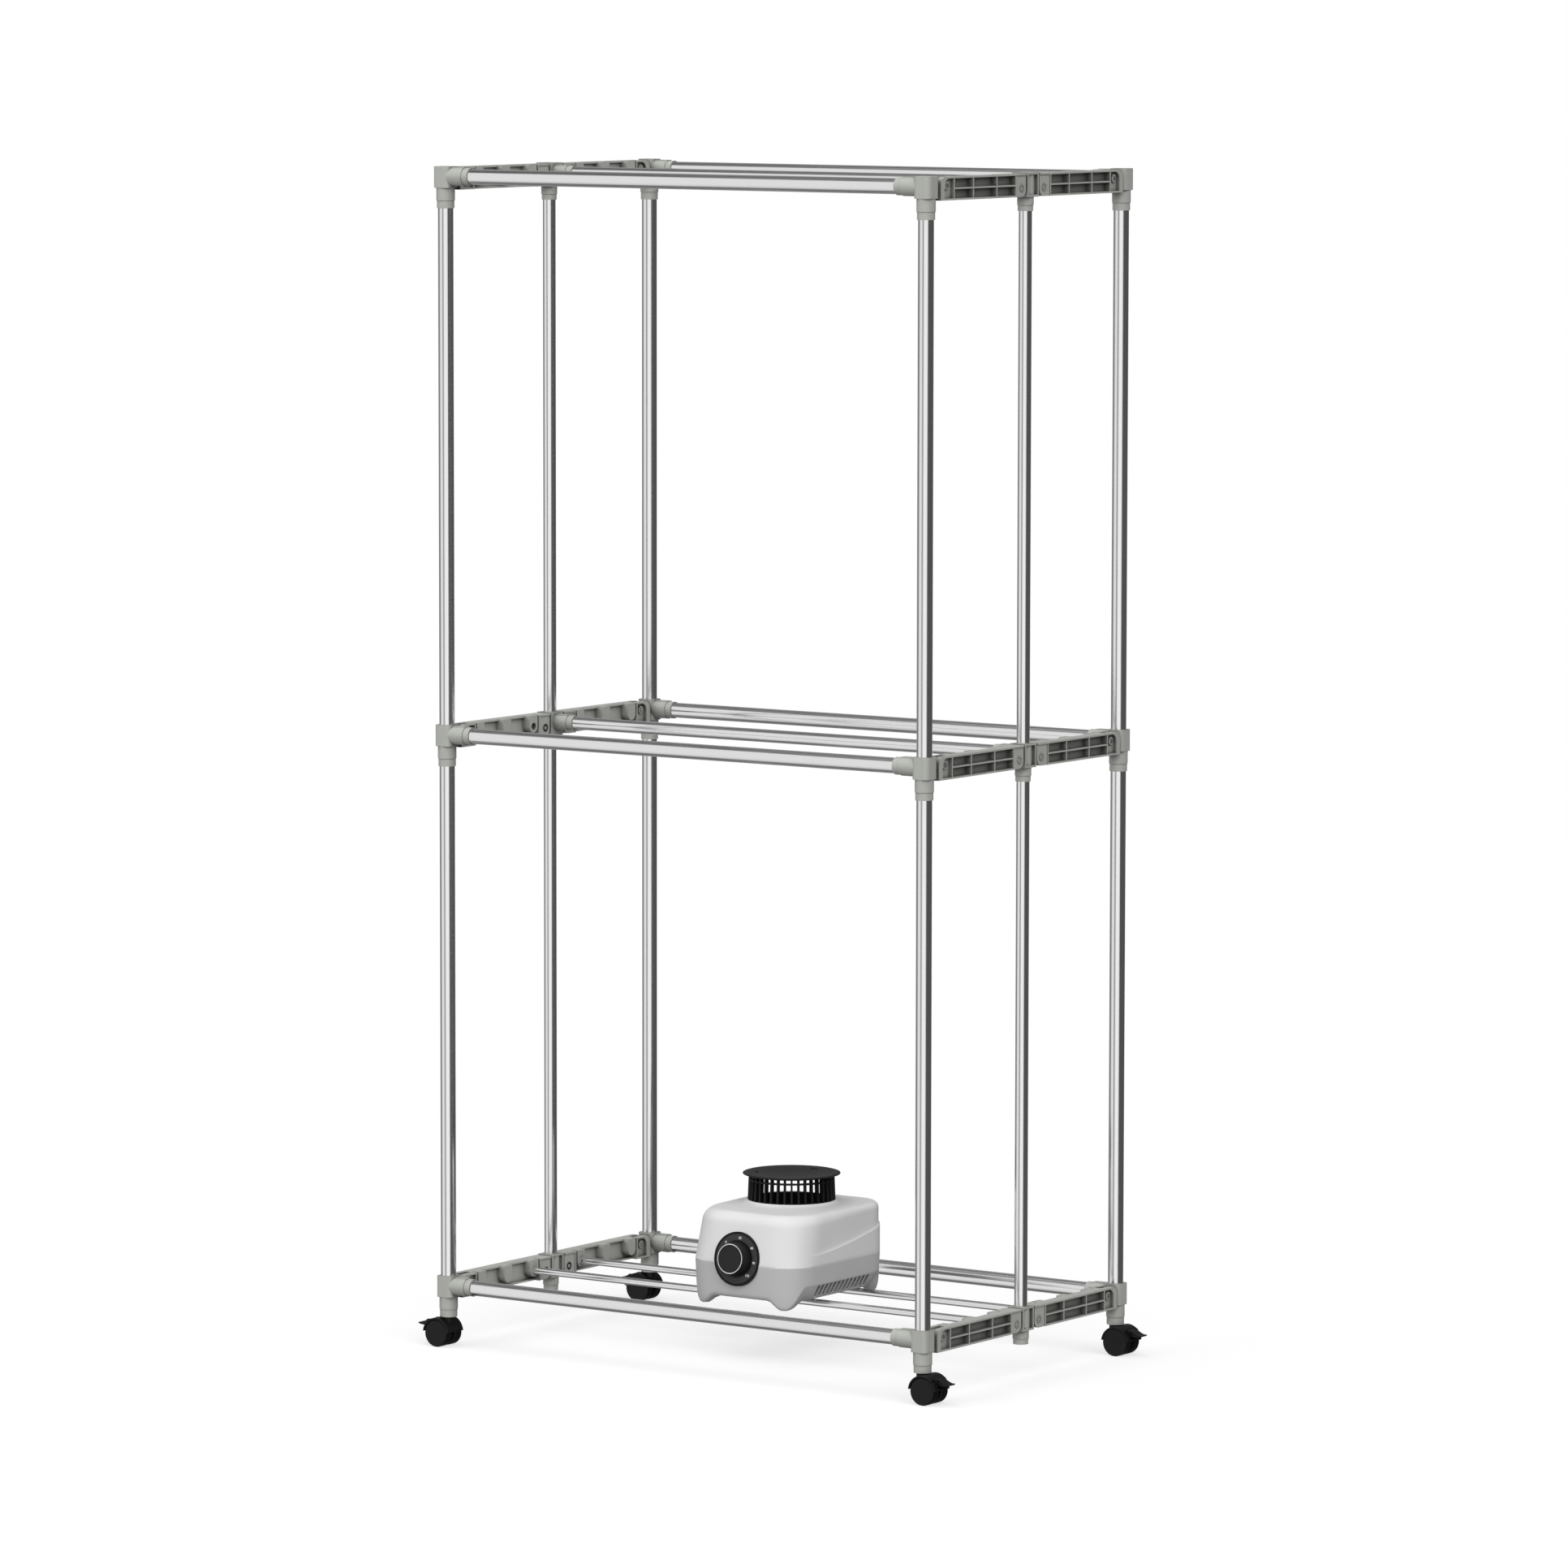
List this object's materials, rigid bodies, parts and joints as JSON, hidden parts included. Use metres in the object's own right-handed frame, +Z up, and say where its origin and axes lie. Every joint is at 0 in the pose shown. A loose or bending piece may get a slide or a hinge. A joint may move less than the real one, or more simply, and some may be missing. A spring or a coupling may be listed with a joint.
{
  "type": "heated clothes airer",
  "caption": "Folding three-level clothes airer of chromed tubes on braked castors, with ribbed folding side arms and a fan heater with a dial timer on its lowest level.",
  "frame": {"origin": "on the floor under the middle of the airer", "axes": "+Z up, +X along the rails, the heater dial faces -Y"},
  "size_m": [0.7988, 0.4626, 1.4725],
  "materials": {
    "chrome_tube": "polished chrome plating",
    "bracket_plastic": "satin warm grey moulding",
    "pin_steel": "plain steel",
    "castor_plastic": "satin black moulding",
    "wheel_plastic": "matt black tread",
    "shell_light": "satin light grey moulding",
    "shell_mid": "satin mid grey moulding",
    "outlet_black": "satin black heat-proof moulding",
    "dial_dark": "dark grey dial with pale numbers",
    "knob_dark": "satin dark knob",
    "ring_silver": "bright trim ring",
    "motor_metal": "plain enamel",
    "element_metal": "plain metal",
    "gland_rubber": "matt rubber"
  },
  "bodies": {
    "front_frame": {"front_post_left": "chrome_tube", "front_post_right": "chrome_tube", "front_rail_bottom": "chrome_tube", "front_rail_middle": "chrome_tube", "front_rail_top": "chrome_tube", "front_brackets": "bracket_plastic", "front_hinge_pins": "pin_steel"},
    "front_arms_bottom": {"front_arms_bottom": "bracket_plastic", "front_support_rod": "chrome_tube"},
    "front_arms_middle": {"front_arms_middle": "bracket_plastic"},
    "front_arms_top": {"front_arms_top": "bracket_plastic"},
    "rear_frame": {"rear_post_left": "chrome_tube", "rear_post_right": "chrome_tube", "rear_rail_bottom": "chrome_tube", "rear_rail_middle": "chrome_tube", "rear_rail_top": "chrome_tube", "rear_brackets": "bracket_plastic", "rear_hinge_pins": "pin_steel"},
    "rear_arms_bottom": {"rear_arms_bottom": "bracket_plastic", "rear_support_rod": "chrome_tube"},
    "rear_arms_middle": {"rear_arms_middle": "bracket_plastic"},
    "rear_arms_top": {"rear_arms_top": "bracket_plastic"},
    "centre_frame": {"centre_post_left": "chrome_tube", "centre_post_right": "chrome_tube", "centre_rail_middle": "chrome_tube", "centre_rail_top": "chrome_tube", "centre_brackets": "bracket_plastic", "centre_hinge_pins": "pin_steel"},
    "castor_front_left": {"castor_front_left_housing": "castor_plastic", "castor_front_left_axle": "pin_steel"},
    "wheels_front_left": {"castor_front_left_wheels": "wheel_plastic"},
    "brake_front_left": {"castor_front_left_brake": "castor_plastic"},
    "castor_front_right": {"castor_front_right_housing": "castor_plastic", "castor_front_right_axle": "pin_steel"},
    "wheels_front_right": {"castor_front_right_wheels": "wheel_plastic"},
    "brake_front_right": {"castor_front_right_brake": "castor_plastic"},
    "castor_rear_left": {"castor_rear_left_housing": "castor_plastic", "castor_rear_left_axle": "pin_steel"},
    "wheels_rear_left": {"castor_rear_left_wheels": "wheel_plastic"},
    "brake_rear_left": {"castor_rear_left_brake": "castor_plastic"},
    "castor_rear_right": {"castor_rear_right_housing": "castor_plastic", "castor_rear_right_axle": "pin_steel"},
    "wheels_rear_right": {"castor_rear_right_wheels": "wheel_plastic"},
    "brake_rear_right": {"castor_rear_right_brake": "castor_plastic"},
    "heater": {"heater_upper_shell": "shell_light", "heater_lower_shell": "shell_mid", "heater_feet": "shell_mid", "outlet_grille": "outlet_black", "deflector_cap": "outlet_black", "dial_plate": "dial_dark", "timer_unit": "knob_dark", "fan_motor": "motor_metal", "heating_element": "element_metal", "cable_gland": "gland_rubber"},
    "knob": {"timer_knob": "knob_dark", "knob_ring": "ring_silver"},
    "fan": {"fan_impeller": "outlet_black"}
  },
  "joints": [
    {"name": "fold", "type": "hinge", "parent": "front_frame", "child": "front_arms_middle", "pos_m": [0, -0.1845, 0.7695], "axis": [1, 0, 0], "range_deg": [0, 82]},
    {"name": "fold_front_top", "type": "hinge", "parent": "front_frame", "child": "front_arms_top", "pos_m": [0, -0.1845, 1.461], "axis": [1, 0, 0], "range_deg": [0, 82]},
    {"name": "fold_front_bottom", "type": "hinge", "parent": "front_frame", "child": "front_arms_bottom", "pos_m": [0, -0.1845, 0.078], "axis": [1, 0, 0], "range_deg": [0, 82]},
    {"name": "fold_centre", "type": "hinge", "parent": "front_arms_middle", "child": "centre_frame", "pos_m": [0, -0.0244, 0.7628], "axis": [1, 0, 0], "range_deg": [-82, 0]},
    {"name": "fold_rear_bottom", "type": "hinge", "parent": "centre_frame", "child": "rear_arms_bottom", "pos_m": [0, 0.0244, 0.0713], "axis": [1, 0, 0], "range_deg": [-82, 0]},
    {"name": "fold_rear_middle", "type": "hinge", "parent": "centre_frame", "child": "rear_arms_middle", "pos_m": [0, 0.0244, 0.7628], "axis": [1, 0, 0], "range_deg": [-82, 0]},
    {"name": "fold_rear_top", "type": "hinge", "parent": "centre_frame", "child": "rear_arms_top", "pos_m": [0, 0.0244, 1.4543], "axis": [1, 0, 0], "range_deg": [-82, 0]},
    {"name": "fold_rear_frame", "type": "hinge", "parent": "rear_arms_middle", "child": "rear_frame", "pos_m": [0, 0.1845, 0.7695], "axis": [1, 0, 0], "range_deg": [0, 82]},
    {"name": "castor_front_left_swivel", "type": "hinge", "parent": "front_frame", "child": "castor_front_left", "pos_m": [-0.3565, -0.2155, 0.04], "axis": [0, 0, 1], "continuous": true},
    {"name": "castor_front_left_roll", "type": "hinge", "parent": "castor_front_left", "child": "wheels_front_left", "pos_m": [-0.3655, -0.2155, 0.017], "axis": [0, 1, 0], "continuous": true},
    {"name": "castor_front_left_brake_press", "type": "hinge", "parent": "castor_front_left", "child": "brake_front_left", "pos_m": [-0.38097, -0.2155, 0.03045], "axis": [0, -1, 0], "range_deg": [0, 12]},
    {"name": "castor_front_right_swivel", "type": "hinge", "parent": "front_frame", "child": "castor_front_right", "pos_m": [0.3565, -0.2155, 0.04], "axis": [0, 0, 1], "continuous": true},
    {"name": "castor_front_right_roll", "type": "hinge", "parent": "castor_front_right", "child": "wheels_front_right", "pos_m": [0.3655, -0.2155, 0.017], "axis": [0, 1, 0], "continuous": true},
    {"name": "castor_front_right_brake_press", "type": "hinge", "parent": "castor_front_right", "child": "brake_front_right", "pos_m": [0.38097, -0.2155, 0.03045], "axis": [0, 1, 0], "range_deg": [0, 12]},
    {"name": "castor_rear_left_swivel", "type": "hinge", "parent": "rear_frame", "child": "castor_rear_left", "pos_m": [-0.3565, 0.2155, 0.04], "axis": [0, 0, 1], "continuous": true},
    {"name": "castor_rear_left_roll", "type": "hinge", "parent": "castor_rear_left", "child": "wheels_rear_left", "pos_m": [-0.3655, 0.2155, 0.017], "axis": [0, 1, 0], "continuous": true},
    {"name": "castor_rear_left_brake_press", "type": "hinge", "parent": "castor_rear_left", "child": "brake_rear_left", "pos_m": [-0.38097, 0.2155, 0.03045], "axis": [0, -1, 0], "range_deg": [0, 12]},
    {"name": "castor_rear_right_swivel", "type": "hinge", "parent": "rear_frame", "child": "castor_rear_right", "pos_m": [0.3565, 0.2155, 0.04], "axis": [0, 0, 1], "continuous": true},
    {"name": "castor_rear_right_roll", "type": "hinge", "parent": "castor_rear_right", "child": "wheels_rear_right", "pos_m": [0.3655, 0.2155, 0.017], "axis": [0, 1, 0], "continuous": true},
    {"name": "castor_rear_right_brake_press", "type": "hinge", "parent": "castor_rear_right", "child": "brake_rear_right", "pos_m": [0.38097, 0.2155, 0.03045], "axis": [0, 1, 0], "range_deg": [0, 12]},
    {"name": "heater_lift", "type": "slide", "parent": "centre_frame", "child": "heater", "axis": [0, 0, 1], "range_m": [0, 0.3]},
    {"name": "timer_turn", "type": "hinge", "parent": "heater", "child": "knob", "pos_m": [0.0056, -0.10486, 0.1291], "axis": [0, 0.9914, -0.1305], "range_deg": [0, 270]},
    {"name": "fan_spin", "type": "hinge", "parent": "heater", "child": "fan", "pos_m": [0.01, 0.008, 0.14], "axis": [0, 0, 1], "continuous": true}
  ],
  "couplings": [
    {"joint": "fold_front_top", "follows": "fold", "ratio": 1},
    {"joint": "fold_front_bottom", "follows": "fold", "ratio": 1},
    {"joint": "fold_centre", "follows": "fold", "ratio": -1},
    {"joint": "fold_rear_bottom", "follows": "fold", "ratio": -1},
    {"joint": "fold_rear_middle", "follows": "fold", "ratio": -1},
    {"joint": "fold_rear_top", "follows": "fold", "ratio": -1},
    {"joint": "fold_rear_frame", "follows": "fold", "ratio": 1}
  ]
}
